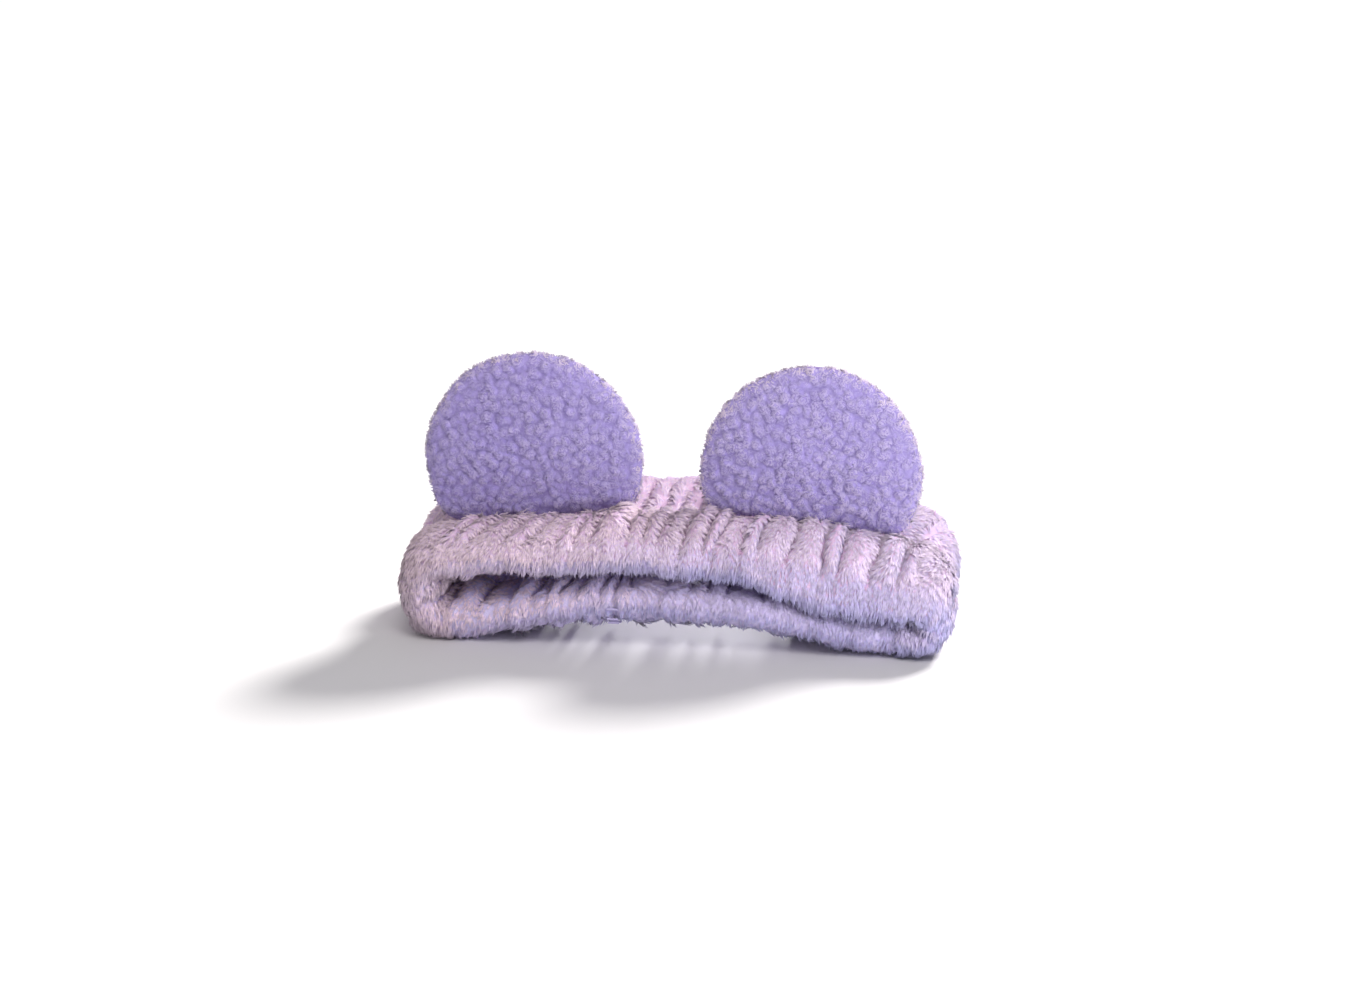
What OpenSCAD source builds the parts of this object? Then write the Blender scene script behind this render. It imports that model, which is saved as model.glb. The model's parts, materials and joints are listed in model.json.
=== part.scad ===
// Plush spa headband with two round ears, in millimetres.
// The band is a fleece tube gathered over a woven elastic and closed into a loop. The loop
// stands on its lower half, with its opening facing front (-Y) and back (+Y).
// Origin: on the floor under the middle of the loop. +X is the wearer's left, +Z is up.

/* [Loop] */
// Half the loop's length, to the middle of its padded wall
loop_half_l = 104; // [98:1:110]
// Radius of the turn at each end of the loop, to the middle of the wall
turn_r = 13.5; // [12.5:0.5:16]
// Width of the band, from its front rim to its back rim
band_w = 72; // [64:1:80]
// Thickness of the padded wall
wall_t = 15; // [13:0.5:16]
// How far the middle of the upper half stands above its ends
top_rise = 9; // [6:0.5:12]
// How far the middle of the lower half arches off the floor
floor_rise = 8.5; // [5:0.5:9]
// Half the length of that lower arch
floor_arch_half_l = 80; // [70:1:82]
// How far the upper half's front rim hangs below its middle
front_droop = 8; // [3:0.5:9]
// How much further that rim hangs towards the right-hand end
right_droop = 2.5; // [0:0.5:3]
// How far the upper half's back rim stands above its middle
back_rise = 3; // [-2:0.5:5]

/* [Fabric and elastic] */
// Thickness of the fleece, with its pile pressed flat
fleece_t = 3.5; // [2.5:0.5:4]
// Width of the woven elastic
elastic_w = 30; // [20:1:34]
// Thickness of the woven elastic
elastic_t = 1.5; // [1:0.1:2]
// Where the tube's two ends are sewn together, along X
closing_x = -24; // [-40:1:-20]
// Length of the elastic's overlap
splice_l = 24; // [16:1:30]

/* [Ears] */
// Radius of each ear
ear_r = 44; // [38:1:46]
// Thickness of a stuffed ear at its middle
ear_t = 16; // [12:1:18]
// Height of an ear's centre above its base seam
ear_centre_h = 17.5; // [16:0.5:24]
// Distance from the middle of the loop to the left-hand ear
ear_left_x = 60; // [56:1:62]
// Distance from the middle of the loop to the right-hand ear
ear_right_x = 51.5; // [50:0.5:62]
// Thickness of the sherpa cloth of the ears
sherpa_t = 3; // [2:0.5:4]
// Height of the ears' base seams above the band's upper surface
seam_lift = 3; // [2.8:0.1:4]

/* [Hidden] */

// Section numbers round the loop, in the order that they join.
BACK = 0;
RIGHT = 1;
FRONT = 2;
LEFT = 3;

half_w = band_w / 2;
half_t = wall_t / 2;
straight_l = loop_half_l - turn_r;
low_z = half_t;
centre_z = low_z + turn_r;
top_z = low_z + 2 * turn_r + half_t;
top_arch_half_l = loop_half_l + 6;
flat_t = 0.2;               // taken off the pillow's top and bottom, so that they are flat
ring_points = 28;
straight_steps = 26;
turn_steps = 12;
pillow = 0.75;              // roundness of the tube's section: 1 is an ellipse, 0 a rectangle

allowance_in = 29;          // the sewn allowance along the back rim, inside the tube
allowance_w = 7;
allowance_t = 2.2;

thread_r = 0.8;             // the base seam's thread, on which an ear folds
thread_gap = 0.05;
hem_r = 2;
hem_half_l = 35;
stitch_r = 0.45;
stitch_l = 4.5;
stitches_round_tube = 18;
tack_xs = [-28, -14, 0, 14, 28];
tack_notch = 3.2;
tack_depth = 5.5;
fit_gap = 0.15;             // between the wadding and the cloth round it
lens_power = 2.6;
round_fn = 64;

function section_steps(section) = section % 2 == 0 ? straight_steps : turn_steps;
function signed_power(a, p) = sign(a) * pow(abs(a), p);
function flattened(off, limit) = min(limit, max(-limit, off));
function smooth(a) = let (c = min(1, max(0, a))) c * c * (3 - 2 * c);

// Angle round an end's turn, in degrees: -90 at the lower half and 90 at the upper half.
function turn_angle(section, t) = section == RIGHT ? -90 + 180 * t : 90 + 180 * t;

// Outward direction [x, z] of the wall at t, from 0 to 1 along a section.
function outward(section, t) =
    section == BACK ? [0, -1] :
    section == FRONT ? [0, 1] :
    [cos(turn_angle(section, t)), sin(turn_angle(section, t))];

// Middle of the wall [x, z], before the loop arches and droops.
function wall_middle(section, t) =
    section == BACK ? [straight_l * (2 * t - 1), low_z] :
    section == FRONT ? [straight_l * (1 - 2 * t), low_z + 2 * turn_r] :
    let (side = section == RIGHT ? 1 : -1)
        [side * straight_l, centre_z] + turn_r * outward(section, t);

// 0 on the lower half, 1 on the upper half.
function upness(section, t) = (1 + outward(section, t)[1]) / 2;

function low_arch(x) = floor_rise * pow(max(0, 1 - pow(x / floor_arch_half_l, 2)), 2);
function top_arch(x) = top_rise * pow(max(0, 1 - pow(x / top_arch_half_l, 2)), 2);
function rim_droop(x, y) =
    let (share = pow(y / half_w, 2))
        y > 0 ? -back_rise * share : (front_droop + right_droop * smooth((x - 25) / 40)) * share;

// A point of the loop: t along the section, y across the band, off out of the wall's middle.
function loop_point(section, t, y, off) =
    let (
        middle = wall_middle(section, t),
        out = outward(section, t),
        up = upness(section, t),
        lift = (1 - up) * low_arch(middle[0]) + up * (top_arch(middle[0]) - rim_droop(middle[0], y))
    )
        [middle[0] + off * out[0], y, middle[1] + off * out[1] + lift];

// The tube's outline across the band, inset from its outer face: a list of [y, off].
function tube_outline(inset) = [
    for (i = [0:ring_points - 1])
        let (a = 360 * i / ring_points)
            [(half_w - inset) * signed_power(cos(a), pillow),
             flattened((half_t + flat_t - inset) * signed_power(sin(a), pillow), half_t - inset)]
];

function ring(section, t, outline) = [for (p = outline) loop_point(section, t, p[0], p[1])];

// Two triangles for each cell between ring i and ring i + 1 of n points, starting at index base.
function skin_faces(base, steps, n, flip) = [
    for (i = [0:steps - 1], j = [0:n - 1])
        let (
            a = base + i * n + j,
            b = base + i * n + (j + 1) % n,
            c = a + n,
            d = b + n
        )
            each (flip ? [[a, c, b], [b, c, d]] : [[a, b, c], [b, d, c]])
];

// Two triangles for each cell of the end face between an outer and an inner ring.
function rim_faces(outer, inner, n, flip) = [
    for (j = [0:n - 1])
        let (k = (j + 1) % n)
            each (flip
                ? [[outer + j, outer + k, inner + j], [outer + k, inner + k, inner + j]]
                : [[outer + j, inner + j, outer + k], [outer + k, inner + j, inner + k]])
];

// One section of the fleece tube, open at both ends.
module tube(section) {
    steps = section_steps(section);
    n = ring_points;
    inner = (steps + 1) * n;
    points = [
        for (inset = [0, fleece_t], i = [0:steps])
            each ring(section, i / steps, tube_outline(inset))
    ];
    polyhedron(points, concat(
        skin_faces(0, steps, n, false),
        skin_faces(inner, steps, n, true),
        rim_faces(0, inner, n, false),
        rim_faces(steps * n, inner + steps * n, n, true)
    ));
}

// A solid strip that follows the loop: from t0 to t1, y0 to y1 across and off0 to off1 outwards.
module strip(section, t0, t1, steps, y0, y1, off0, off1) {
    outline = [[y1, off0], [y1, off1], [y0, off1], [y0, off0]];
    points = [for (i = [0:steps]) each ring(section, t0 + (t1 - t0) * i / steps, outline)];
    last = 4 * steps;
    polyhedron(points, concat(
        skin_faces(0, steps, 4, false),
        [[0, 2, 1], [0, 3, 2], [last, last + 1, last + 2], [last, last + 2, last + 3]]
    ));
}

module fleece(section) {
    color("plum") tube(section);
}

module elastic(section) {
    color("white")
        strip(section, 0, 1, section_steps(section),
            -elastic_w / 2, elastic_w / 2, -elastic_t / 2, elastic_t / 2);
}

module seam_allowance(section) {
    color("thistle")
        strip(section, 0, 1, section_steps(section),
            allowance_in - allowance_w, allowance_in, -allowance_t / 2, allowance_t / 2);
}

// Share of the back section's length at x.
function back_share(x) = (x + straight_l) / (2 * straight_l);

// The elastic's tail, laid over its other end.
module elastic_splice() {
    color("whitesmoke")
        strip(BACK, back_share(closing_x), back_share(closing_x + splice_l), 6,
            -elastic_w / 2, elastic_w / 2, elastic_t / 2, 1.5 * elastic_t);
}

// Two rows of bar stitches across the elastic's overlap.
module splice_stitches() {
    bar_l = 3.2;
    bars = 6;
    color("ivory")
        for (row = [0.2, 0.8], i = [0:bars - 1]) {
            x = closing_x + row * splice_l;
            y = elastic_w * ((i + 0.5) / bars - 0.5);
            translate(loop_point(BACK, back_share(x), y, 1.5 * elastic_t + stitch_r / 2))
                rotate([90, 0, 0])
                    cylinder(h = bar_l, r = stitch_r, center = true, $fn = round_fn);
        }
}

// The stitches that join the tube's two ends, round the whole tube.
module closing_seam_stitches() {
    color("mediumpurple")
        for (i = [0:stitches_round_tube - 1]) {
            a = 360 * (i + 0.5) / stitches_round_tube;
            y = half_w * signed_power(cos(a), pillow);
            off = flattened((half_t + flat_t) * signed_power(sin(a), pillow), half_t);
            translate(loop_point(BACK, back_share(closing_x), y, off))
                rotate([0, 90, 0])
                    cylinder(h = stitch_l, r = stitch_r, center = true, $fn = round_fn);
        }
}

// Places an ear's parts: its base seam lies along the local X axis, and it stands along local Z.
module at_ear(side) {
    x = side < 0 ? -ear_left_x : ear_right_x;
    left_z = top_z + top_arch(x - hem_half_l);
    right_z = top_z + top_arch(x + hem_half_l);
    translate([x, 0, (left_z + right_z) / 2 + seam_lift])
        rotate([0, atan((left_z - right_z) / (2 * hem_half_l)), 0])
            children();
}

// A round cushion's half profile: thickness falls from h at the middle to 0 at radius r.
module lens(r, h) {
    steps = 12;
    rs = [for (i = [0:steps]) r * sin(90 * i / steps)];
    function face(a) = h * pow(max(0, 1 - pow(a / r, lens_power)), 0.5);
    outline = concat(
        [for (a = rs) [a, face(a)]],
        [for (i = [steps - 1:-1:0]) [rs[i], -face(rs[i])]]
    );
    translate([0, 0, ear_centre_h])
        rotate([90, 0, 0])
            rotate_extrude($fn = round_fn)
                polygon(outline);
}

// Side view of an ear: pinched at the base seam, full from about half way up.
module side_profile(inset) {
    full = ear_t / 2 + 1 - inset;
    pinch = hem_r;
    heights = [0, 6, 12, 20, 28, 36];
    widths = [for (h = heights) pinch + (full - pinch) * sin(90 * h / heights[5])];
    top = ear_centre_h + ear_r + 5;
    outline = concat(
        [for (i = [0:5]) [widths[i], heights[i] + 3 * inset]],
        [[full, top], [-full, top]],
        [for (i = [5:-1:0]) [-widths[i], heights[i] + 3 * inset]]
    );
    rotate([90, 0, 90])
        linear_extrude(2 * ear_r + 10, center = true)
            polygon(outline);
}

module ear_outside() {
    intersection() {
        lens(ear_r, ear_t / 2);
        side_profile(0);
    }
}

module ear_inside(gap) {
    intersection() {
        lens(ear_r - sherpa_t - gap, ear_t / 2 - sherpa_t - gap);
        side_profile(sherpa_t + gap);
    }
}

// The seam's thread between the two panels, round the free edge of an ear.
module rim_thread(start, angle) {
    translate([0, 0, ear_centre_h])
        rotate([90, 0, 0])
            rotate([0, 0, start])
                rotate_extrude(angle = angle, $fn = round_fn)
                    translate([ear_r - 1.2, 0])
                        circle(r = stitch_r, $fn = 24);
}

module tack_notches() {
    for (x = tack_xs)
        translate([x - tack_notch / 2, -5, -3])
            cube([tack_notch, 10, 5.4]);
}

// One cloth face of an ear. face is -1 for the front and 1 for the back.
module ear_panel(side, face) {
    big = 2 * ear_r + 20;
    at_ear(side)
        color("mediumpurple")
            difference() {
                ear_outside();
                ear_inside(0);
                translate([-big / 2, face > 0 ? -big : 0, -10]) cube([big, big, big]);
                rim_thread(0, 360);
                rotate([0, 90, 0]) cylinder(h = big, r = hem_r, center = true, $fn = round_fn);
                tack_notches();
            }
}

module ear_filling(side) {
    at_ear(side) color("white") ear_inside(fit_gap);
}

module ear_rim_seam(side) {
    at_ear(side) color("slateblue") rim_thread(-20, 220);
}

// The turned hem along an ear's base: short sleeves on the base thread.
module ear_hem(side) {
    at_ear(side)
        color("rebeccapurple")
            difference() {
                rotate([0, 90, 0])
                    cylinder(h = 2 * hem_half_l, r = hem_r, center = true, $fn = round_fn);
                rotate([0, 90, 0])
                    cylinder(h = 3 * hem_half_l, r = thread_r + thread_gap, center = true,
                        $fn = round_fn);
                tack_notches();
            }
}

// The thread that fixes an ear to the band, with its tacks down into the fleece.
module ear_base_thread(side) {
    at_ear(side)
        color("indigo") {
            rotate([0, 90, 0])
                cylinder(h = 2 * hem_half_l + 3, r = thread_r, center = true, $fn = round_fn);
            for (x = tack_xs)
                translate([x, 0, -tack_depth])
                    cylinder(h = tack_depth, r = thread_r, $fn = round_fn);
        }
}

fleece(BACK);  // cover_back
fleece(RIGHT);  // cover_right_end
fleece(FRONT);  // cover_front
fleece(LEFT);  // cover_left_end
elastic(BACK);  // elastic_back
elastic(RIGHT);  // elastic_right_end
elastic(FRONT);  // elastic_front
elastic(LEFT);  // elastic_left_end
seam_allowance(BACK);  // seam_allowance_back
seam_allowance(RIGHT);  // seam_allowance_right_end
seam_allowance(FRONT);  // seam_allowance_front
seam_allowance(LEFT);  // seam_allowance_left_end
elastic_splice();
splice_stitches();
closing_seam_stitches();
ear_panel(-1, -1);  // ear_left_front_panel
ear_panel(-1, 1);  // ear_left_back_panel
ear_filling(-1);  // ear_left_filling
ear_rim_seam(-1);  // ear_left_rim_seam
ear_hem(-1);  // ear_left_hem
ear_base_thread(-1);  // ear_left_base_thread
ear_panel(1, -1);  // ear_right_front_panel
ear_panel(1, 1);  // ear_right_back_panel
ear_filling(1);  // ear_right_filling
ear_rim_seam(1);  // ear_right_rim_seam
ear_hem(1);  // ear_right_hem
ear_base_thread(1);  // ear_right_base_thread
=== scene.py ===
"""Looks for the plush spa headband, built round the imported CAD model.

Metres, +Z up, and the camera looks along +Y. Shapes are worked out in millimetres, which make_mesh turns
into metres."""

import json
import math
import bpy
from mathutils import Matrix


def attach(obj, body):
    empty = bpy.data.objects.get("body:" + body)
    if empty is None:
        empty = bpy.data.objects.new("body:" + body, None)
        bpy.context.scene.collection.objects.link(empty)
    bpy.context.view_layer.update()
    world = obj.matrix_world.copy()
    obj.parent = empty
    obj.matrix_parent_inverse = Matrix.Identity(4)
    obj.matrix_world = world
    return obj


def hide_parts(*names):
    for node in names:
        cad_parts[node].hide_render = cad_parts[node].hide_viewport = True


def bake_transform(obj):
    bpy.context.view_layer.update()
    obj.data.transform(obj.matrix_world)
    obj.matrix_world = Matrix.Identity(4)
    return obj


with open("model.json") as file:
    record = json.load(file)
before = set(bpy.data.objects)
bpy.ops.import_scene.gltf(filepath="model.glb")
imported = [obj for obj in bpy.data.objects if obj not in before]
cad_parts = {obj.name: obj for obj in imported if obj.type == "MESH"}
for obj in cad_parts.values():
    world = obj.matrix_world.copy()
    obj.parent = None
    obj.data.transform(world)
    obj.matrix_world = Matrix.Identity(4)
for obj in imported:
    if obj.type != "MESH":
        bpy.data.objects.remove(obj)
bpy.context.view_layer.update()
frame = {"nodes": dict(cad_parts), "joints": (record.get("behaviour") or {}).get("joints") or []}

from types import SimpleNamespace

import bpy
import numpy as np
from mathutils import Vector

MM = 0.001

# ---------------------------------------------------------------- helpers


def smooth(a):
    """A step from 0 to 1 with soft ends, as a goes from 0 to 1."""
    c = np.clip(a, 0, 1)
    return c * c * (3 - 2 * c)


def bell(a, middle, width):
    return np.exp(-(((a - middle) / width) ** 2))


def power(a, p):
    return np.sign(a) * np.abs(a) ** p


def unit(v):
    return v / np.maximum(np.linalg.norm(v, axis=-1, keepdims=True), 1e-12)


def points(x, y=0.0, z=0.0):
    return np.stack(np.broadcast_arrays(x, y, z), axis=-1)


LATTICE_SIZE = 32
LATTICE_SHIFT = 100.37
LATTICE = np.random.default_rng(11).random((8, LATTICE_SIZE, LATTICE_SIZE, LATTICE_SIZE))


def noise(p, scale, layer=0):
    """Smooth value noise from -1 to 1 at points p, with features of about that scale."""
    grid = LATTICE[layer]
    q = np.asarray(p, float) / scale + LATTICE_SHIFT
    i = np.floor(q).astype(int)
    f = q - i
    f = f * f * (3 - 2 * f)
    total = 0
    for dx in (0, 1):
        for dy in (0, 1):
            for dz in (0, 1):
                w = (
                    (f[..., 0] if dx else 1 - f[..., 0])
                    * (f[..., 1] if dy else 1 - f[..., 1])
                    * (f[..., 2] if dz else 1 - f[..., 2])
                )
                x, y, z = ((i[..., k] + d) % LATTICE_SIZE for k, d in enumerate((dx, dy, dz)))
                total = total + w * grid[x, y, z]
    return 2 * total - 1


def noise_vector(p, scale, layer=0):
    return np.stack([noise(p, scale, (layer + k) % 8) for k in range(3)], axis=-1)


def make_mesh(name, verts, faces, materials, indices=None, normals=None):
    """A smooth-shaded object from arrays, verts in millimetres; faces is an (n, 3) or (n, 4) array.

    Fibres pass normals that lean to those of the cloth, which shades thin pile as softly as real pile."""
    faces = np.asarray(faces, np.int32)
    n, k = faces.shape
    mesh = bpy.data.meshes.new(name)
    mesh.vertices.add(len(verts))
    mesh.vertices.foreach_set("co", (np.asarray(verts, float) * MM).astype(np.float32).ravel())
    mesh.loops.add(n * k)
    mesh.loops.foreach_set("vertex_index", faces.ravel())
    mesh.polygons.add(n)
    mesh.polygons.foreach_set("loop_start", np.arange(n, dtype=np.int32) * k)
    if indices is not None:
        mesh.polygons.foreach_set("material_index", np.asarray(indices, np.int32))
    mesh.update(calc_edges=True)
    mesh.validate()
    mesh.polygons.foreach_set("use_smooth", np.ones(len(mesh.polygons), bool))
    for m in materials:
        mesh.materials.append(m)
    if normals is not None:
        mesh.normals_split_custom_set_from_vertices(unit(normals).tolist())
    obj = bpy.data.objects.new(name, mesh)
    bpy.context.scene.collection.objects.link(obj)
    return obj


def round_faces(rows, columns):
    """The quads of a grid of points whose rows are closed rings."""
    i, j = np.meshgrid(np.arange(rows - 1), np.arange(columns), indexing="ij")
    after = (j + 1) % columns
    a = i * columns + j
    b = i * columns + after
    c = (i + 1) * columns + after
    d = (i + 1) * columns + j
    return np.stack([a, b, c, d], axis=-1).reshape(-1, 4)


def normals_of(p, ring_of_rows):
    """Unit normals of a grid of points whose rows are closed rings, in a ring of rows or a stack of rows."""
    if ring_of_rows:
        down = np.roll(p, -1, 0) - np.roll(p, 1, 0)
    else:
        down = np.gradient(p, axis=0)
    return unit(np.cross(np.roll(p, -1, 1) - np.roll(p, 1, 1), down))


def repeat_faces(faces, amount, corners):
    """The faces of that many like pieces, each with that many corners of its own."""
    return (faces[None] + (np.arange(amount) * corners)[:, None, None]).reshape(-1, 3)


# ---------------------------------------------------------------- materials


def linear(c):
    return tuple((x / 12.92 if x <= 0.04045 else ((x + 0.055) / 1.055) ** 2.4) for x in c)


def principled(name, colour, roughness=0.9, sheen=0.0, sheen_tint=None, sheen_roughness=0.4):
    m = bpy.data.materials.new(name)
    m.use_nodes = True
    p = m.node_tree.nodes["Principled BSDF"]
    p.inputs["Base Color"].default_value = (*linear(colour), 1)
    p.inputs["Roughness"].default_value = roughness
    p.inputs["Specular IOR Level"].default_value = 0.2
    p.inputs["Sheen Weight"].default_value = sheen
    p.inputs["Sheen Roughness"].default_value = sheen_roughness
    if sheen_tint:
        p.inputs["Sheen Tint"].default_value = (*linear(sheen_tint), 1)
    return m


def fibre_cloth(name, dark, light, scale, bump=0.4, roughness=0.95, sheen=0.5, stretch=(1, 1, 1)):
    """Cloth whose colour, roughness and bump follow a fibrous noise of that scale, in metres."""
    m = principled(name, light, roughness, sheen, light)
    nodes, links = m.node_tree.nodes, m.node_tree.links
    p = nodes["Principled BSDF"]
    coordinates = nodes.new("ShaderNodeTexCoord")
    mapping = nodes.new("ShaderNodeMapping")
    mapping.inputs["Scale"].default_value = stretch
    links.new(coordinates.outputs["Object"], mapping.inputs["Vector"])
    fine = nodes.new("ShaderNodeTexNoise")
    fine.inputs["Scale"].default_value = 1 / scale
    fine.inputs["Detail"].default_value = 4
    fine.inputs["Roughness"].default_value = 0.7
    wide = nodes.new("ShaderNodeTexNoise")
    wide.inputs["Scale"].default_value = 0.12 / scale
    for n in (fine, wide):
        links.new(mapping.outputs["Vector"], n.inputs["Vector"])
    ramp = nodes.new("ShaderNodeValToRGB")
    ramp.color_ramp.elements[0].position = 0.32
    ramp.color_ramp.elements[0].color = (*linear(dark), 1)
    ramp.color_ramp.elements[1].position = 0.68
    ramp.color_ramp.elements[1].color = (*linear(light), 1)
    blend = nodes.new("ShaderNodeMix")
    blend.data_type = "FLOAT"
    blend.inputs[0].default_value = 0.35
    links.new(fine.outputs["Fac"], blend.inputs[2])
    links.new(wide.outputs["Fac"], blend.inputs[3])
    links.new(blend.outputs[0], ramp.inputs["Fac"])
    links.new(ramp.outputs["Color"], p.inputs["Base Color"])
    span = nodes.new("ShaderNodeMapRange")
    span.inputs["To Min"].default_value = roughness - 0.12
    span.inputs["To Max"].default_value = min(1, roughness + 0.05)
    links.new(fine.outputs["Fac"], span.inputs["Value"])
    links.new(span.outputs["Result"], p.inputs["Roughness"])
    height = nodes.new("ShaderNodeBump")
    height.inputs["Strength"].default_value = bump
    height.inputs["Distance"].default_value = scale * 0.5
    links.new(fine.outputs["Fac"], height.inputs["Height"])
    links.new(height.outputs["Normal"], p.inputs["Normal"])
    return m


def pile_tints(name, roots, tips, roughness, sheen):
    """One material for the lower part and one for the tip of each tint of fibre, roots first."""
    made = []
    for part, colours in (("root", roots), ("tip", tips)):
        for k, c in enumerate(colours):
            made.append(principled(f"{name}_{part}_{k}", c, roughness, sheen, (1, 0.97, 1), 0.35))
    return made


# Fleece: hues from the pinkish white of its top to the blue of its rims and inside, each in three shades.
# Much of it is painted light: the pinkish white is painted light on faces turned up, and the blue is painted
# shade on the rims, inside the loop and on the lower half; the three shades are painted furrow shading mixed
# with random tone.
FLEECE_HUES = [
    (0.950, 0.858, 0.905),
    (0.943, 0.858, 0.920),
    (0.930, 0.856, 0.935),
    (0.880, 0.818, 0.920),
    (0.825, 0.782, 0.905),
    (0.780, 0.750, 0.895),
    (0.742, 0.725, 0.885),
]
SHADES = (0.92, 0.985, 1.045)
# Painted shade in creases: a darker pink for creases between folds, a darker blue for creases inside the loop
# and on the lower half.
FLEECE_CREASE_SHADE = (0.860, 0.700, 0.830)
FLEECE_DEEP_SHADE = (0.830, 0.765, 0.945)
FLEECE_TIPS = [tuple(c * shade for c in hue) for hue in FLEECE_HUES for shade in SHADES]
FLEECE_TIPS.append(FLEECE_CREASE_SHADE)
FLEECE_TIPS.append(FLEECE_DEEP_SHADE)
# Roots darker and more saturated than tips: painted shade deep in the pile.
FLEECE_ROOTS = [(0.65 * r + 0.27, 0.65 * g + 0.235, 0.65 * b + 0.32) for r, g, b in FLEECE_TIPS]
# Sherpa: from the pale top of a curl to the deep violet between curls, a painted highlight on the tops and
# painted shade between them.
SHERPA_TIPS = [
    (0.865, 0.808, 0.900),
    (0.808, 0.758, 0.898),
    (0.778, 0.728, 0.888),
    (0.750, 0.700, 0.878),
    (0.722, 0.672, 0.868),
    (0.692, 0.640, 0.852),
    (0.660, 0.604, 0.835),
]
# Roots a little darker: painted shade deep in the curls.
SHERPA_ROOTS = [(r * 0.97, g * 0.95, b * 0.98) for r, g, b in SHERPA_TIPS]

fleece_skin = fibre_cloth("fleece_skin", (0.84, 0.70, 0.83), (0.93, 0.82, 0.92), 0.0012, 0.5)
# Painted shade: a bluer copy of the fleece's skin for the inside of the loop and its lower half.
fleece_painted_shade = fibre_cloth("fleece_painted_shade", (0.76, 0.71, 0.88), (0.88, 0.84, 0.96), 0.0012, 0.5)
sherpa_skin = fibre_cloth("sherpa_skin", (0.62, 0.56, 0.81), (0.72, 0.67, 0.87), 0.0011, 0.3)
fleece_pile = pile_tints("fleece_pile", FLEECE_ROOTS, FLEECE_TIPS, 0.9, 0.25)
sherpa_pile = pile_tints("sherpa_pile", SHERPA_ROOTS, SHERPA_TIPS, 0.9, 0.3)
elastic_weave = fibre_cloth(
    "elastic_weave", (0.80, 0.79, 0.78), (0.95, 0.94, 0.93), 0.0008, 0.6, 0.8, 0.1, stretch=(0.2, 1, 1)
)
thread_twist = fibre_cloth("thread_twist", (0.55, 0.47, 0.72), (0.74, 0.67, 0.88), 0.0004, 0.6, 0.6, 0.1)
band_thread = fibre_cloth("band_thread", (0.68, 0.64, 0.80), (0.80, 0.76, 0.90), 0.0004, 0.6, 0.6, 0.1)
wadding_fluff = fibre_cloth("wadding_fluff", (0.86, 0.86, 0.87), (0.98, 0.98, 0.98), 0.003, 0.8, 1.0, 0.3)

# ---------------------------------------------------------------- the loop's surface, in millimetres

STRAIGHT = 90.5
TURN_R = 13.5
LOW_Z = 7.5
CENTRE_Z = LOW_Z + TURN_R
LOWER = 2 * STRAIGHT
TURN = math.pi * TURN_R
ROUND = 2 * (LOWER + TURN)
HALF_W = 35.4
HALF_T = 7.9
PILLOW = 0.75
LOW_ARCH = 10.2
TOP_ARCH = 9
BACK_RIM_RISE = 5
CLOSING_X = -24
LOWEST = 0.6


def path(s):
    """The middle of the wall at distance s round the loop, from the lower half's left end.

    Returns x, z and the x and z of the outward direction."""
    s = np.mod(s, ROUND)
    right = (s >= LOWER) & (s < LOWER + TURN)
    top = (s >= LOWER + TURN) & (s < 2 * LOWER + TURN)
    left = s >= 2 * LOWER + TURN
    angle = np.full_like(s, -math.pi / 2)
    angle[right] = -math.pi / 2 + (s[right] - LOWER) / TURN_R
    angle[top] = math.pi / 2
    angle[left] = math.pi / 2 + (s[left] - 2 * LOWER - TURN) / TURN_R
    ox, oz = np.cos(angle), np.sin(angle)
    x = -STRAIGHT + s
    x[right] = STRAIGHT + TURN_R * ox[right]
    x[top] = STRAIGHT - (s[top] - LOWER - TURN)
    x[left] = -STRAIGHT + TURN_R * ox[left]
    z = CENTRE_Z + TURN_R * oz
    return x, z, ox, oz


def low_arch(x):
    """How far the lower half arches up, the most a little left of the middle."""
    return LOW_ARCH * np.maximum(0, 1 - np.abs((x + 4) / 86) ** 2.4) ** 1.7


def top_arch(x):
    return TOP_ARCH * np.maximum(0, 1 - (x / 110) ** 2) ** 2


def tilt(x, y):
    """How far the upper half's rims stand, at the back, or hang, at the front, from its middle line."""
    share = (y / 36) ** 2
    front = 6.3 + 3.8 * smooth((x + 20) / 25) + 6.5 * smooth((x - 22) / 42) - 4 * smooth((-x - 45) / 30)
    return np.where(y > 0, BACK_RIM_RISE * share, -front * share)


RIDGES = 49
ridge_rng = np.random.default_rng(5)
ridge_gaps = 0.5 + 1.1 * ridge_rng.random(RIDGES)
RIDGE_AT = np.concatenate([[0], np.cumsum(ridge_gaps)]) * ROUND / ridge_gaps.sum()
RIDGE_HIGH = 0.55 + 0.65 * ridge_rng.random(RIDGES)
RIDGE_LEAN = 1.1 * (2 * ridge_rng.random(RIDGES) - 1)


def ridge(s):
    """The gathers at distance s: their height, 0 in a crease and about 1 on a fold, how far across the fold
    s is, from -1 to 1, and the slope at which the fold's pile is combed."""
    s = np.mod(s, ROUND)
    k = np.clip(np.searchsorted(RIDGE_AT, s, side="right") - 1, 0, RIDGES - 1)
    u = (s - RIDGE_AT[k]) / (RIDGE_AT[k + 1] - RIDGE_AT[k])
    return RIDGE_HIGH[k] * np.abs(np.sin(math.pi * u)) ** 0.42, 2 * u - 1, RIDGE_LEAN[k]


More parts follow.
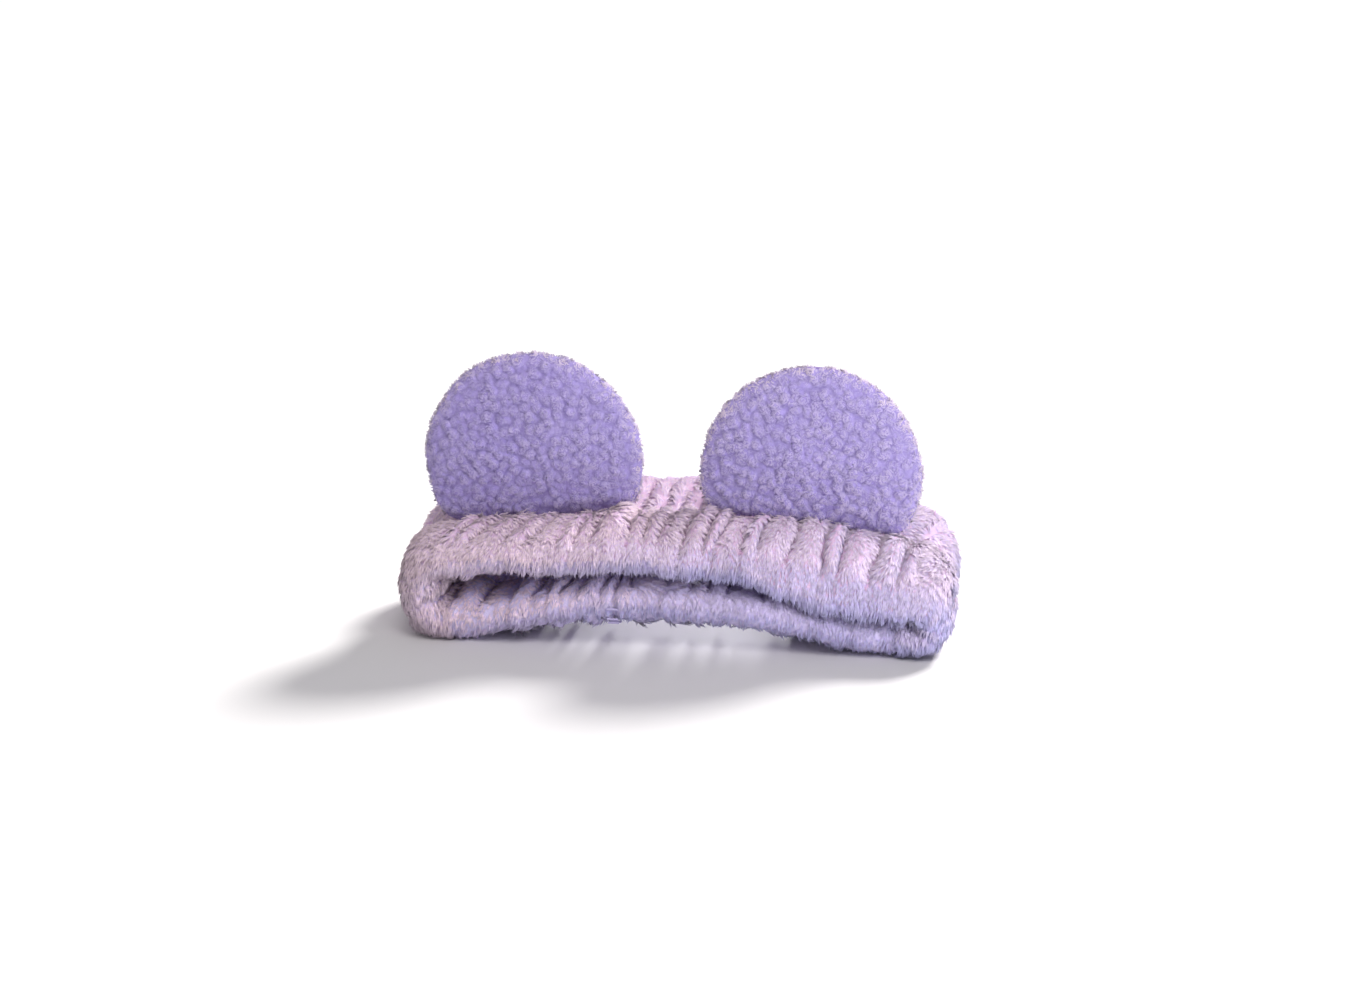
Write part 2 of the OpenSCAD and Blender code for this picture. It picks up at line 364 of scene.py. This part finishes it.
def loop_grid(s, phi):
    """Points of the fleece's smooth surface at every s and phi, where phi is 0 at the back rim and 90 degrees
    outwards. Also s, y, the sine of phi, and how far up the loop each point is, from 0 to 1."""
    s, phi = np.meshgrid(s, phi, indexing="ij")
    x0, z0, ox, oz = (a.reshape(s.shape) for a in path(s.ravel()))
    c, sn = np.cos(phi), np.sin(phi)
    up = (1 + oz) / 2
    around = points(x0, 30 * c, z0 + 10 * sn)
    width = HALF_W + 1.0 * noise(around, 21, 1) + 0.6 * noise(around, 9, 2)
    y = width * power(c, PILLOW)
    thick = HALF_T * (1 + 0.08 * noise(around, 25, 3))
    off = thick * power(sn, PILLOW)
    inside = sn < 0
    away = smooth(np.abs(sn) * 1.7)
    valley = np.where(inside, 1.2, 1.6 + 2.4 * smooth(up * 1.6)) * bell(y, 0, 6.5)
    lobe = 0.9 * bell(np.abs(y), 19, 9)
    rim = 0.9 * bell(np.abs(y), 29, 5)
    off = off + np.where(inside, -1, 1) * away * (lobe + rim - valley)
    square_turn = 1.6 * (np.abs(ox * oz) * 2) ** 2
    off = off + square_turn
    lift = (1 - up) * low_arch(x0) + up * (top_arch(x0) + tilt(x0, y))
    return points(x0 + off * ox, y, z0 + off * oz + lift), s, y, sn, up


def facing_out(p):
    """The loop's normals, turned so that those on top of the upper half point up."""
    n = normals_of(p, True)
    on_top = (loop_up > 0.99) & (loop_sn > 0.9)
    return -n if np.mean(n[..., 2][on_top]) < 0 else n


straight_rows = 300
turn_rows = 84
columns = 176
stations = np.concatenate(
    [
        np.linspace(0, LOWER, straight_rows, endpoint=False),
        np.linspace(LOWER, LOWER + TURN, turn_rows, endpoint=False),
        np.linspace(LOWER + TURN, 2 * LOWER + TURN, straight_rows, endpoint=False),
        np.linspace(2 * LOWER + TURN, ROUND, turn_rows, endpoint=False),
    ]
)
angles = np.linspace(0, 2 * math.pi, columns, endpoint=False)
loop, loop_s, loop_y, loop_sn, loop_up = loop_grid(stations, angles)

# Gathers: folds across the band that fade before the puffed rims, slanting as the cloth was sewn. The lower
# half's inner face is nearly smooth beside its closing seam.
FOLD_OUTSIDE = 5.4
FOLD_INSIDE = 4.6
MEAN_FOLD = 0.72
SEAM_DEPTH = 1.2
SEAM_WIDE = 1.3
FURROW_DEPTH = 0.5

side = np.where(loop_up > 0.5, 1.0, -1.0)
on_lower_half = loop_up < 0.3
slant = 0.16 + 0.16 * noise(points(loop_s), 45, 4)
slant += 0.26 * smooth((-loop[..., 0] - 12) / 45) * loop_up
wiggle = 1.8 * noise(points(loop_s, loop_y, loop_sn * 8), 13, 5)
folds, across_fold, fold_lean = ridge(loop_s + slant * (loop_y + 18) * side + wiggle)
fade = 9 + 5 * noise(points(loop_s), 16, 2)
reach = smooth((33 - np.abs(loop_y)) / fade) * (1 - 0.75 * smooth((np.abs(loop[..., 0]) - 88) / 12))
closing = 1 - 0.75 * bell(loop[..., 0], 2, 15) * on_lower_half * (loop_sn < 0)
deep = np.where(loop_sn > 0, FOLD_OUTSIDE, FOLD_INSIDE) * reach * closing + 0.4
seam = -SEAM_DEPTH * bell(loop[..., 0], CLOSING_X, SEAM_WIDE) * on_lower_half
combed = fold_lean * smooth((32 - np.abs(loop_y)) / 12)
furrow = noise(points(loop_s + combed * loop_y, 0.2 * loop_y, 2.5 * loop_sn + 9 * fold_lean), 1.9, 3)
rough = 0.4 * noise(loop, 9, 6) + FURROW_DEPTH * furrow
loop = loop + facing_out(loop) * (deep * (folds - MEAN_FOLD) + rough + seam)[..., None]
loop[..., 2] = np.maximum(loop[..., 2], LOWEST)
outward = facing_out(loop)


def share_of_upper_half(s):
    """How far a place at distance s round the loop moves with the upper half, from 0 to 1."""
    rising = (s - LOWER) / TURN
    falling = 1 - (s - 2 * LOWER - TURN) / TURN
    after_right_turn = np.where(s < 2 * LOWER + TURN, 1.0, falling)
    return smooth(np.where(s < LOWER, 0.0, np.where(s < LOWER + TURN, rising, after_right_turn)))


follow = share_of_upper_half(loop_s)


def stretch_with_band(obj):
    """Bakes the piece's transform into its mesh."""
    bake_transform(obj)


def attach_fleece(obj, section):
    """Fleece rides on its half of the band; at the loop's two ends its transform is baked into its mesh."""
    if section in ("back", "front"):
        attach(obj, f"band_{section}")
    else:
        stretch_with_band(obj)


SECTIONS = {
    "back": (0, straight_rows),
    "right_end": (straight_rows, straight_rows + turn_rows),
    "front": (straight_rows + turn_rows, 2 * straight_rows + turn_rows),
    "left_end": (2 * straight_rows + turn_rows, len(stations)),
}


def rows_of(section):
    """The rows of a section, up to and with the first row of the next, so that sections meet."""
    first, last = SECTIONS[section]
    return np.arange(first, last + 1) % len(stations)


def build_cover(section):
    """The fleece under the pile, with painted shade: bluer inside the loop and all over its lower half."""
    rows = rows_of(section)
    faces = round_faces(len(rows), columns)
    shaded = (loop_sn[rows[:-1]] < 0.1) | (section == "back")
    skins = [fleece_skin, fleece_painted_shade]
    obj = make_mesh(f"fleece_{section}", loop[rows].reshape(-1, 3), faces, skins, shaded.ravel())
    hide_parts(f"cover_{section}")
    attach_fleece(obj, section)


for section_name in SECTIONS:
    build_cover(section_name)

# ---------------------------------------------------------------- pile

# A strand is a three-sided tube with two rings of corners and a tip, number 6.
TUBE = [(0, 1, 4), (0, 4, 3), (1, 2, 5), (1, 5, 4), (2, 0, 3), (2, 3, 5)]
STRAND_FACES = np.array(TUBE + [(3, 4, 6), (4, 5, 6), (5, 3, 6), (0, 2, 1)])
STRAND_PART = np.array([0] * 6 + [1] * 3 + [0])
STRAND_CORNERS = 7
THIRD_OF_TURN = 2.0944


def strand_rings(lines, radii, cloth, softness):
    """Three-sided rings round the points of each line but the last, which is the tip: (n, 3k + 1, 3).

    Also the normals there, which lean to the cloth's own normal by softness."""
    along = unit(lines[:, 1] - lines[:, 0])
    helper = np.where(np.abs(along[:, 2:3]) < 0.9, [[0, 0, 1.0]], [[1.0, 0, 0]])
    a = unit(np.cross(along, helper))
    b = np.cross(along, a)
    rings, normals = [], []
    for i in range(lines.shape[1] - 1):
        for corner in range(3):
            turn = corner * THIRD_OF_TURN
            spoke = a * math.cos(turn) + b * math.sin(turn)
            rings.append(lines[:, i] + spoke * np.reshape(radii[i], (-1, 1)))
            normals.append(cloth * softness + spoke * (1 - softness))
    rings.append(lines[:, -1])
    normals.append(cloth * softness + unit(lines[:, -1] - lines[:, -2]) * (1 - softness))
    return np.stack(rings, axis=1), np.stack(normals, axis=1)


def close_rows(a):
    return np.concatenate([a, a[:, :1]], axis=1)


def sample_grid(p, n, weight, amount, rng):
    """Random points on a grid of points p with normals n, spread by area times weight.

    Returns the points, their normals, the row and column of each one's cell, and its share of the way to
    the next row."""
    q, m = close_rows(p), close_rows(n)
    across = q[:-1, 1:] - q[:-1, :-1]
    along = q[1:, :-1] - q[:-1, :-1]
    area = np.linalg.norm(np.cross(across, along), axis=-1)
    w = (area * weight[:-1, : area.shape[1]]).ravel()
    pick = rng.choice(len(w), size=amount, p=w / w.sum())
    i, j = np.divmod(pick, area.shape[1])
    u, v = rng.random((2, amount))

    def at(a):
        return (
            a[i, j] * ((1 - u) * (1 - v))[:, None]
            + a[i + 1, j] * (u * (1 - v))[:, None]
            + a[i, j + 1] * ((1 - u) * v)[:, None]
            + a[i + 1, j + 1] * (u * v)[:, None]
        )

    return at(q), unit(at(m)), i, j, u


TUFT = 4
PILE = 4.6
STRAND_R = 0.26
TUFT_SPREAD = 0.34


def scatter_tufts(section, weight, tufts, rng):
    """Where the tufts of a section stand, and what the gathers are like there."""
    rows = rows_of(section)
    p = loop[rows]
    root, normal, i, j, u = sample_grid(p, outward[rows], weight[rows], tufts, rng)

    def at_root(a):
        a = close_rows(a[rows])
        return a[i, j] * (1 - u) + a[i + 1, j] * u

    t = SimpleNamespace(section=section, root=root, normal=normal, tufts=tufts)
    t.x, t.y = root[:, 0], root[:, 1]
    t.high = at_root(folds)
    t.across = np.clip(at_root(across_fold), -1, 1)
    t.combed = at_root(combed)
    t.furrow = at_root(furrow)
    t.depth = smooth((34 - np.abs(t.y)) / 9) * (1 - 0.8 * smooth((np.abs(t.x) - 86) / 10))
    t.hang = smooth((np.abs(t.y) - 27) / 6)
    t.inner = smooth(-2 * at_root(loop_sn))
    t.fluff = np.exp(-(((t.x + 2) / 17) ** 4)) * (root[:, 2] < 30) * (1 - 0.85 * t.hang)
    t.along = unit(p[i + 1, j] - p[i, j])
    w = follow[rows][:, 0]
    t.share = w[i] * (1 - u) + w[i + 1] * u
    return t


def tuft_lines(t, rng):
    """The foot, the bend and the tip of each tuft.

    Pile is combed outwards and down, parts over each fold, hangs at the rims, and is fluffed up and to the
    right on the smooth patch beside the closing seam."""
    comb = points(np.zeros(t.tufts), 0.6 * np.tanh(t.y / 8), -0.75 * np.ones(t.tufts))
    comb += t.along * (0.7 * t.across * t.depth - 0.9 * t.combed * np.sign(t.y))[:, None]
    comb += 0.35 * noise_vector(t.root, 24, 2) + 0.3 * noise_vector(t.root, 6, 3)
    comb[:, 2] -= 0.5 * t.hang
    comb += t.fluff[:, None] * [1.5, 0, 1.0]
    comb = unit(comb - (comb * t.normal).sum(-1, keepdims=True) * t.normal + 0.02)
    lean = 0.1 * rng.normal(size=t.root.shape)
    first = unit(t.normal * (0.46 + 0.16 * t.hang)[:, None] + comb * 0.85 + lean * 0.5)
    droop = points(-0.15 * t.hang, 0 * t.hang, -0.1 - 0.45 * t.hang)
    second = unit(t.normal * (0.08 + 0.14 * t.hang)[:, None] + comb + lean + droop)
    long = PILE * (0.7 + 0.4 * rng.random(t.tufts)) * (1 + 0.2 * noise(t.root, 6, 1))
    long *= 1 - t.depth * (0.1 + 0.45 * smooth(1 - t.high * 1.1))
    long *= (1 + 0.2 * t.fluff) * (1 - 0.12 * t.hang) * (0.84 if t.section == "back" else 1.0)
    foot = t.root - t.normal * 0.6
    bend = foot + first * (long * 0.55)[:, None]
    tip = bend + second * (long * 0.5)[:, None]
    return foot, bend, tip


def tuft_strands(t, foot, bend, tip, rng):
    """The corners and normals of each tuft's strands, which start apart and close towards the tuft's tip."""
    amount = t.tufts * TUFT
    spread = rng.normal(size=(t.tufts, TUFT, 3)) * TUFT_SPREAD
    spread -= (spread * t.normal[:, None]).sum(-1, keepdims=True) * t.normal[:, None]
    ragged = (0.75 + 0.4 * rng.random((t.tufts, TUFT)))[..., None]
    bends = foot[:, None] + spread * 0.9 + (bend - foot)[:, None] * ragged
    tips = foot[:, None] + spread * 0.55 + (tip - foot)[:, None] * ragged
    lines = np.stack([foot[:, None] + spread, bends, tips], axis=2).reshape(amount, 3, 3)
    wide = STRAND_R * (0.6 + 0.6 * rng.random(amount))
    rings, shading = strand_rings(lines, (wide, 0.75 * wide), np.repeat(t.normal, TUFT, axis=0), 0.7)
    above_floor = 0.03 + 0.5 * rng.random((amount, 1)) * (rings[..., 2] < 0.5)
    rings[..., 2] = np.maximum(rings[..., 2], above_floor)
    return rings, shading


def tuft_tints(t, rng):
    """The tint of each tuft, mostly painted light. Its hue is pinker where it faces up and on the right end,
    bluer to the right, and bluer in painted shade on the rims, inside the loop and on the lower half, with the
    inside and rims lighter towards the left; its shade follows the furrows as painted furrow shading, and
    chance.
    Tufts in creases take painted crease shade.
    """
    # Painted light in the hue: facing up pinker, the right side bluer, rims, inside and lower half bluer in
    # painted shade, the right end pinker, inside and rims lighter at the left.
    cool = 3.6 - 5.5 * np.clip(t.normal[:, 2], 0, 0.5) + 0.5 * noise(t.root, 14, 4) + 0.02 * t.x
    cool += (1.6 * t.hang - 0.8 * smooth((t.x - 86) / 16)) * (1 - t.inner)
    cool += 1.2 * t.inner + (1.2 if t.section == "back" else 0) + 0.2 * rng.normal(size=t.tufts)
    cool -= 1.6 * np.maximum(t.inner, t.hang) * smooth((-15 - t.x) / 70)
    hue = np.clip(np.round(cool), 0, len(FLEECE_HUES) - 1)
    # Painted furrow shading: raised furrows lighter, mixed with random tone.
    shade = np.clip(np.round(1.1 + 0.7 * t.furrow + 0.55 * rng.normal(size=t.tufts)), 0, 2)
    tint = (hue * len(SHADES) + shade).astype(int)
    # Painted crease shade: tufts deep in a crease take the darker crease tints.
    crease = rng.random(t.tufts) < 0.9 * t.depth * smooth((np.abs(t.across) - 0.68) / 0.25)
    in_shadow = (t.inner[crease] > 0.5) | (t.section == "back")
    tint[crease] = np.where(in_shadow, FLEECE_TIPS.index(FLEECE_DEEP_SHADE), FLEECE_TIPS.index(FLEECE_CREASE_SHADE))
    return tint


def band_fur(name, section, weight, amount, seed):
    """Combed pile on one section of the band, in tufts whose strands share a tint and close to one point."""
    rng = np.random.default_rng(seed)
    tufts = amount // TUFT
    t = scatter_tufts(section, weight, tufts, rng)
    rings, shading = tuft_strands(t, *tuft_lines(t, rng), rng)
    tint = np.repeat(tuft_tints(t, rng), TUFT)
    faces = repeat_faces(STRAND_FACES, tufts * TUFT, STRAND_CORNERS)
    index = (tint[:, None] + STRAND_PART[None] * len(FLEECE_TIPS)).ravel()
    obj = make_mesh(name, rings.reshape(-1, 3), faces, fleece_pile, index, shading.reshape(-1, 3))
    attach_fleece(obj, section)


# The slit shows the lower half's inner face and its front rim, so they carry as much pile as the front.
# A piece holds at most 19800 strands, which keeps it under 200,000 triangles.
FULL = 19800
near = smooth((2 - loop_y) / 4)
far = 1 - near
outer = smooth(loop_sn * 6 + 0.5)
wrapped = smooth(loop_sn * 4 + 1.5)
low_inner = smooth(0.6 - loop_sn)
for k, seed in enumerate((21, 22, 29)):
    band_fur(f"pile_front_near_{k}", "front", near * wrapped, FULL, seed)
for k, seed in enumerate((23, 30)):
    band_fur(f"pile_front_far_{k}", "front", far * wrapped, 16000, seed)
band_fur("pile_front_inside", "front", 1.02 - wrapped, 15000, 24)
for k, seed in enumerate((25, 31)):
    band_fur(f"pile_back_near_{k}", "back", near * (0.25 + 0.75 * low_inner), FULL, seed)
band_fur("pile_back_far", "back", far * (0.3 + 0.7 * low_inner), FULL, 26)
for k, end in enumerate(("right_end", "left_end")):
    band_fur(f"pile_{end}_outside", end, 0.05 + 0.95 * outer, FULL, 27 + k)
    band_fur(f"pile_{end}_inside", end, (1.05 - outer) * (0.3 + 0.7 * near), 12000, 37 + k)
    band_fur(f"pile_{end}_near", end, near * (0.3 + 0.7 * outer), 12000, 47 + k)

# ---------------------------------------------------------------- ears, in each ear's own frame

EAR_R = 45.4
EAR_H = 7.6
EAR_CENTRE = 17.5
EAR_FOOT = -5.3
EAR_LIFT = {"ear_left": 0.7, "ear_right": -2.6}
EAR_BULGE = {"ear_left": 0.8, "ear_right": 2.3}
CORNER_SHARPNESS = 14.0
CURL = 4.2
CURL_DEPTH = 1.75
CLOTH_SUNK = 0.8


def ear_outline(theta, which):
    """Distance from an ear's centre to its edge at angle theta from its local X: nearly a circle, cut off at
    the foot and cut by hand, so each ear bulges a little at its own angle."""
    down = np.maximum(1e-3, -np.sin(theta))
    foot = (EAR_CENTRE + EAR_LIFT[which] - EAR_FOOT) / down
    k = CORNER_SHARPNESS
    bulge = EAR_BULGE[which]
    rim = np.stack([np.cos(theta), np.sin(theta), 0 * theta + bulge], -1) * EAR_R
    radius = EAR_R * (1 + 0.022 * np.cos(theta - bulge)) + 0.5 * noise(rim, 11, 3)
    return (radius**-k + foot**-k) ** (-1 / k)


def facing(normal, face):
    """Normals turned so that those round the middle of a panel point to the face's side."""
    return -normal if normal[0, :, 1].mean() * face < 0 else normal


def ear_face(face, rr, tt, which):
    """One panel's smooth surface and its normals: a lens, pinched at the foot and a little crumpled."""
    edge = ear_outline(tt, which)
    x = rr * edge * np.cos(tt)
    z = rr * edge * np.sin(tt)
    full = EAR_H * np.maximum(0, 1 - rr**2.8) ** 0.5
    pinch = 0.35 + 0.65 * smooth((z + EAR_CENTRE - EAR_FOOT) / 34)
    body = np.stack([x, face * (full * pinch + 0.1), z + EAR_CENTRE + EAR_LIFT[which]], -1)
    crumple = np.stack([x, face * full, z], -1) + (70 if "left" in which else 0)
    body[..., 1] += face * 0.9 * noise(crumple, 18, 1) * (1 - rr)
    normal = facing(normals_of(body, False), face)
    normal[-1] = unit(np.stack([np.cos(tt[-1]), 0.25 * face * np.ones(tt.shape[1]), np.sin(tt[-1])], -1))
    return body, normal


def curl_centres(candidates, rng):
    """Middles of the sherpa's curls: points of the ear's surface that keep their distance from each other."""
    kept = candidates[:1]
    for q in candidates[1:]:
        if np.min(np.sum((kept - q) ** 2, axis=1)) > (CURL * (0.62 + 0.5 * rng.random())) ** 2:
            kept = np.concatenate([kept, q[None]])
    return kept


def scatter_curls(sides, rng):
    """The curls of one ear: where each one is, which way it is wound, how high, and which way it is longer."""
    everywhere = [sample_grid(body, normal, np.ones(body.shape[:2]), 3500, rng)[0] for body, normal in sides]
    centres = curl_centres(rng.permutation(np.concatenate(everywhere)), rng)
    spin = rng.choice([-1.0, 1.0], size=len(centres))
    high = 0.45 + 0.65 * rng.random(len(centres))
    turn = rng.random(len(centres)) * 2 * math.pi
    grain = np.stack([np.cos(turn), 0 * turn, np.sin(turn)], -1)
    return SimpleNamespace(centres=centres, spin=spin, high=high, grain=grain)


def curl_at(p, curls):
    """For each point p, the curl that it is on, and how high that curl is there, from 0 to 1.

    A curl is a round dome, a little longer along its grain, with an uneven outline."""
    q = p + 0.8 * noise_vector(p, 3.4, 2)
    index = np.zeros(len(q), int)
    top = np.zeros(len(q))
    batch = 3000
    for first in range(0, len(q), batch):
        offset = q[first : first + batch, None] - curls.centres[None]
        along = (offset * curls.grain[None]).sum(-1)
        d = (offset**2).sum(-1) * 1.15 - along**2 * 0.4
        index[first : first + batch] = d.argmin(1)
        top[first : first + batch] = np.maximum(0, 1 - d.min(1) / (0.64 * CURL) ** 2)
    return index, top


# A curled fibre is a strand with three rings of corners and a tip, number 9.
CURL_FACES = np.concatenate([TUBE, np.array(TUBE) + 3, [(6, 7, 9), (7, 8, 9), (8, 6, 9), (0, 2, 1)]])
CURL_PART = np.array([0] * 6 + [1] * 9 + [0])
CURL_CORNERS = 10


def ear_cloth(ear, face, body, normal, rr):
    """The curled cloth of one panel, closed at its middle. Returns its surface, normals and curls' height."""
    radial, turns = rr.shape
    index, top = curl_at(body.reshape(-1, 3), ear.curls)
    dome = (top * ear.curls.high[index]).reshape(rr.shape)
    fine = 0.1 * noise(body, 1.3, 2)
    inner = smooth((1.02 - rr) / 0.16)
    relief = (CURL_DEPTH * dome + fine) * (0.25 + 0.75 * inner) - CLOTH_SUNK
    skin = body + normal * relief[..., None]
    hub = ear.place(np.array([[0, skin[0, :, 1].mean(), ear.middle]]))
    verts = np.concatenate([ear.place(skin.reshape(-1, 3)), hub])
    quads = round_faces(radial, turns)
    j = np.arange(turns)
    cap = np.stack([np.full(turns, radial * turns), (j + 1) % turns, j], -1)
    tris = np.concatenate([quads[:, [0, 1, 2]], quads[:, [0, 2, 3]], cap])
    if face > 0:
        tris = tris[:, ::-1]
    obj = make_mesh(f"{ear.panel[face]}_cloth", verts, tris, [sherpa_skin])
    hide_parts(f"{ear.panel[face]}_panel")
    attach(obj, ear.which)
    return skin, facing(normals_of(skin, False), face), dome


def ear_fibres(ear, face, skin, normal, dome, rng):
    """Short fibres wound round each curl, with painted light: paler on the curl's top as a painted highlight,
    darker between curls as painted shade, paler towards the foot as painted bounce light from the band, darker
    on the left ear as painted shade, and paler at the ear's edge.
    """
    amount = 12400
    root, n, *_ = sample_grid(skin, normal, 0.45 + dome, amount, rng)
    index, top = curl_at(root, ear.curls)
    out = unit(root - ear.curls.centres[index] + 1e-6)
    swirl = unit(np.cross(n, out)) * ear.curls.spin[index][:, None]
    stray = rng.normal(size=root.shape)
    offset = root - [0, 0, ear.middle]
    radius = np.hypot(offset[:, 0], offset[:, 2])
    edge = smooth((radius - EAR_R + 5) / 4.5)[:, None]
    foot = smooth((12 - root[:, 2]) / 16)
    halo = unit(np.stack([offset[:, 0], 0 * radius, offset[:, 2]], -1)) * edge * 0.3
    long = (0.6 + 0.4 * rng.random(amount))[:, None]
    p0 = root - n * 0.3
    p1 = p0 + unit(n * 0.9 + swirl * 0.4 + stray * 0.25 + halo) * long * 0.75
    p2 = p1 + unit(n * 0.45 + swirl * 0.8 - out * 0.2 + stray * 0.25 + halo) * long * 0.7
    p3 = p2 + unit(n * 0.1 + swirl * 0.7 - out * 0.4 + stray * 0.3 + halo) * long * 0.5
    rings, shading = strand_rings(np.stack([p0, p1, p2, p3], 1), (0.27, 0.25, 0.18), n, 0.92)
    # Painted light: the left ear starts darker as painted shade, curl tops are paler as a painted highlight,
    # and the foot is paler as painted bounce light.
    cool = (5.6 if ear.which == "ear_left" else 4.8) + 0.7 * noise(root, 13, 4)
    cool += 0.15 * rng.normal(size=amount)
    cool -= 3.1 * ear.curls.high[index] * top + 3.6 * edge[:, 0] + 1.2 * foot
    tint = np.clip(np.round(cool), 0, len(SHERPA_TIPS) - 1).astype(int)
    mats = (tint[:, None] + CURL_PART[None] * len(SHERPA_TIPS)).ravel()
    faces = repeat_faces(CURL_FACES, amount, CURL_CORNERS)
    verts = ear.place(rings.reshape(-1, 3))
    normals = shading.reshape(-1, 3) @ ear.basis
    obj = make_mesh(f"{ear.panel[face]}_curls", verts, faces, sherpa_pile, mats, normals)
    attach(obj, ear.which)


def build_ear(which, seed):
    """Both panels of an ear. Its own frame stands on the middle of its base seam, with X along the seam."""
    joint = next(j for j in frame["joints"] if j["name"] == f"{which}_fold")
    pivot = np.array(joint["pos_m"]) / MM
    ex = unit(np.array(joint["axis"], float))
    ey = np.array([0.0, 1.0, 0.0])
    basis = np.stack([ex, ey, np.cross(ex, ey)])
    ear = SimpleNamespace(which=which, basis=basis, middle=EAR_CENTRE + EAR_LIFT[which])
    ear.place = lambda q: pivot + q @ basis
    ear.panel = {-1: f"{which}_front", 1: f"{which}_back"}
    rng = np.random.default_rng(seed)
    radial = 104
    turns = 440
    rho = np.sin(np.linspace(0.02, 1, radial) * math.pi / 2)
    theta = np.linspace(0, 2 * math.pi, turns, endpoint=False)
    rr, tt = np.meshgrid(rho, theta, indexing="ij")
    sides = {face: ear_face(face, rr, tt, which) for face in ear.panel}
    ear.curls = scatter_curls(sides.values(), rng)
    for face, (body, normal) in sides.items():
        skin, fine_normal, dome = ear_cloth(ear, face, body, normal, rr)
        ear_fibres(ear, face, skin, unit(normal * 0.6 + fine_normal * 0.4), dome, rng)


build_ear("ear_left", 41)
build_ear("ear_right", 42)

# ---------------------------------------------------------------- what stays from the CAD


def material_for(name):
    if name.startswith("elastic"):
        return elastic_weave
    if "allowance" in name or name.startswith("cover"):
        return fleece_skin
    if "stitches" in name:
        return band_thread
    if "thread" in name or "rim_seam" in name:
        return thread_twist
    if "filling" in name:
        return wadding_fluff
    return sherpa_skin


for name, node in frame["nodes"].items():
    node.data.materials.clear()
    node.data.materials.append(material_for(name))


def stretch_inner(name, end):
    """The elastic or the seam allowance at one end of the loop, as a copy in place of the CAD part."""
    source = frame["nodes"][f"{name}_{end}"]
    mesh = source.data.copy()
    obj = bpy.data.objects.new(f"inner_{name}_{end}", mesh)
    bpy.context.scene.collection.objects.link(obj)
    stretch_with_band(obj)
    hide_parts(f"{name}_{end}")


for name, slot in (("elastic", "elastic"), ("seam_allowance", "fleece_inside")):
    for end in ("left_end", "right_end"):
        stretch_inner(name, end)

# ---------------------------------------------------------------- floor, lights, camera

floor_mesh = bpy.data.meshes.new("floor")
floor_mesh.from_pydata([(-30, -30, 0), (30, -30, 0), (30, 30, 0), (-30, 30, 0)], [], [(0, 1, 2, 3)])
floor = bpy.data.objects.new("floor", floor_mesh)
bpy.context.scene.collection.objects.link(floor)
floor_mesh.materials.append(principled("floor_paper", (0.985, 0.983, 0.985), 0.7))


def direction(azimuth, elevation):
    """A unit vector away from the object: azimuth 0 is the front and 90 the right, in degrees."""
    a, e = math.radians(azimuth), math.radians(elevation)
    return Vector((math.sin(a) * math.cos(e), -math.cos(a) * math.cos(e), math.sin(e)))


def stand(name, data, away, location=(0, 0, 0)):
    """A light or camera that looks against the direction away."""
    obj = bpy.data.objects.new(name, data)
    obj.location = location
    obj.rotation_euler = (-away).to_track_quat("-Z", "Y").to_euler()
    bpy.context.scene.collection.objects.link(obj)
    return obj


MIDDLE = Vector((0, 0, 0.05))


def area_light(name, azimuth, elevation, distance, size, power_w, colour):
    light = bpy.data.lights.new(name, "AREA")
    light.shape = "DISK"
    light.size = size
    light.energy = power_w
    light.color = colour
    away = direction(azimuth, elevation)
    return stand(name, light, away, MIDDLE + away * distance)


def sun_light(name, azimuth, elevation, strength, angle):
    light = bpy.data.lights.new(name, "SUN")
    light.energy = strength
    light.angle = math.radians(angle)
    light.color = (1.0, 0.975, 0.95)
    return stand(name, light, direction(azimuth, elevation))


def spot_light(name, location, target, power_w):
    light = bpy.data.lights.new(name, "SPOT")
    light.energy = power_w
    light.spot_size = 0.19
    light.spot_blend = 0.6
    light.shadow_soft_size = 0.025
    return stand(name, light, Vector(location) - Vector(target), location)


fill = area_light("fill", 50, 9, 0.5, 0.35, 1.3, (0.91, 0.93, 1.0))
area_light("top", 5, 58, 0.8, 0.5, 2.0, (1.0, 0.96, 0.98))
overhead = area_light("overhead", 0, 70, 0.8, 0.6, 1.3, (1.0, 0.95, 0.97))
key = sun_light("key", 132, 39, 2.35, 22)
floor_wash = sun_light("floor_wash", 149, 36, 4.55, 18)
under_arch = spot_light("under_arch", (-0.004, 0.62, 0.088), (-0.004, -0.02, 0), 21)

# The key, the fill and the overhead light are flagged off the floor. Two lights reach only the floor: a sun
# from farther behind keeps it white and lays the shadow forward, and a low spot shows the gap under the arch.
off_floor = bpy.data.collections.new("off_floor")
off_floor.objects.link(floor)
off_floor.collection_objects[0].light_linking.link_state = "EXCLUDE"
for light in (key, fill, overhead):
    light.light_linking.receiver_collection = off_floor
floor_only = bpy.data.collections.new("floor_only")
floor_only.objects.link(floor)
for light in (floor_wash, under_arch):
    light.light_linking.receiver_collection = floor_only

world = bpy.data.worlds.new("studio")
bpy.context.scene.world = world
world.use_nodes = True
world.node_tree.nodes["Background"].inputs["Color"].default_value = (0.98, 0.98, 1.0, 1)
world.node_tree.nodes["Background"].inputs["Strength"].default_value = 0.28
bpy.context.scene.view_settings.view_transform = "Standard"

AIM = Vector((-0.003, 0, 0.053))
CAMERA_AZIMUTH = 7.0
CAMERA_ELEVATION = 16.0
CAMERA_DISTANCE = 1.106
camera_data = bpy.data.cameras.new("camera")
camera_data.lens = 72
camera_data.sensor_width = 36
towards_camera = direction(CAMERA_AZIMUTH, CAMERA_ELEVATION)
camera = stand("camera", camera_data, towards_camera, AIM + towards_camera * CAMERA_DISTANCE)
bpy.context.scene.camera = camera
